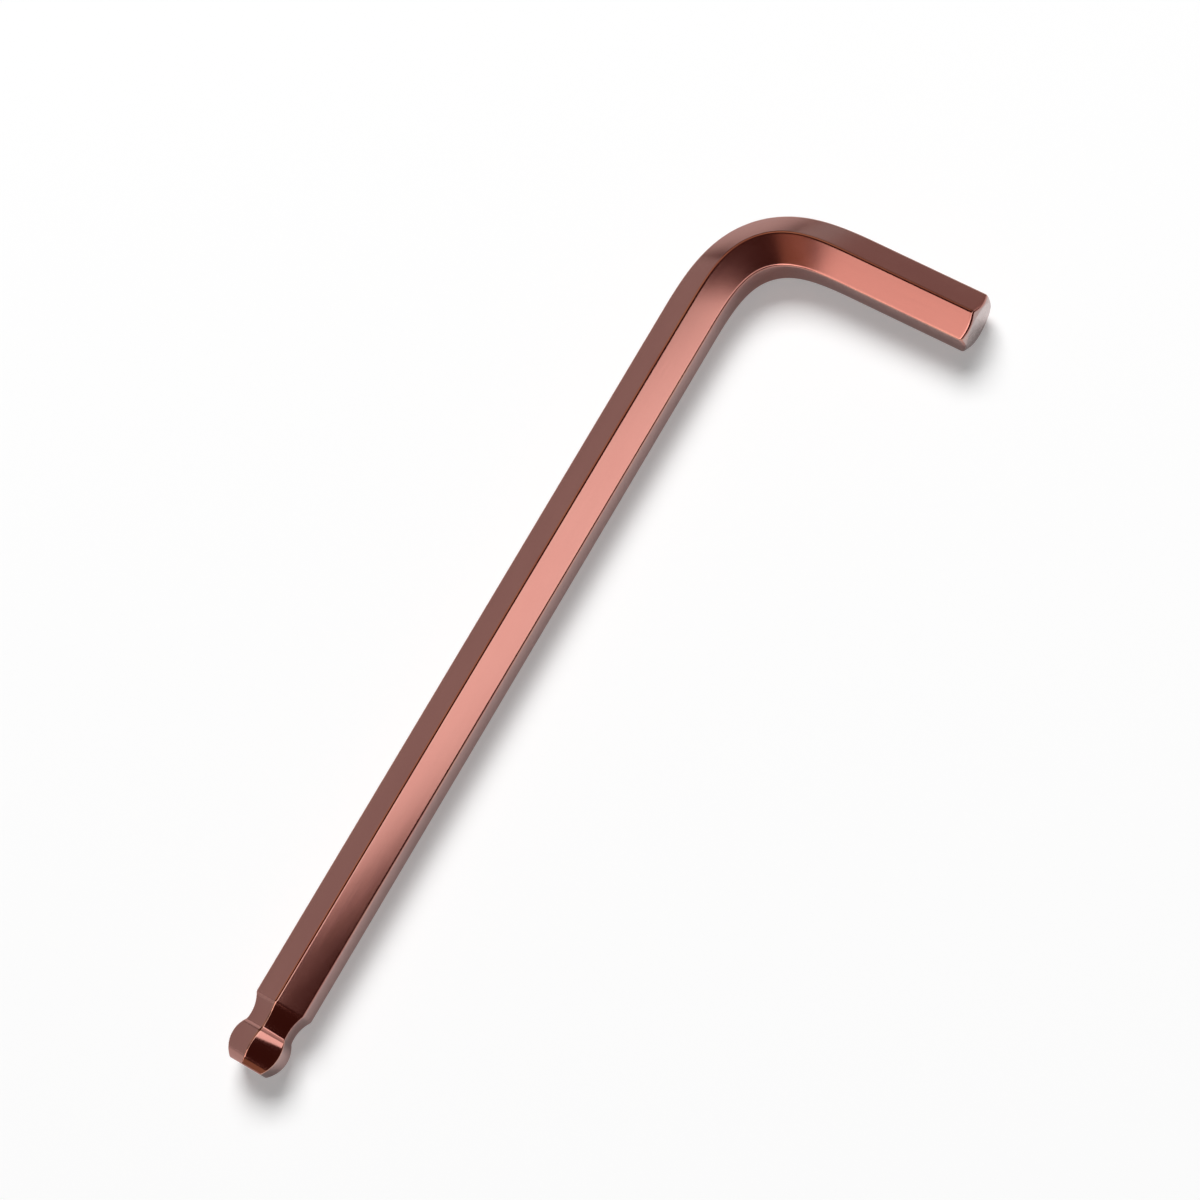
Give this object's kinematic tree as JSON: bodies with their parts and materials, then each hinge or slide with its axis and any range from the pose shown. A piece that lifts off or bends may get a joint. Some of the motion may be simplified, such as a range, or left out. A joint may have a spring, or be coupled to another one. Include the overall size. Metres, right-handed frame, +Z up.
{
  "type": "ball-end hex key",
  "caption": "L-shaped hex key in copper-coloured plated steel, with a ball end on the long arm and a chamfered hexagon end on the short arm.",
  "frame": {"origin": "middle of the outer box, at the height of the surface that the key lies on", "axes": "+Y along the long arm from the ball towards the bend, +X along the short arm from the bend towards its end face, +Z up from the surface"},
  "size_m": [0.0314, 0.111, 0.0068],
  "materials": {
    "plated_steel": "copper-coloured plating on steel, smooth with soft reflections"
  },
  "bodies": {
    "root": {"hex_key": "plated_steel"}
  },
  "joints": []
}
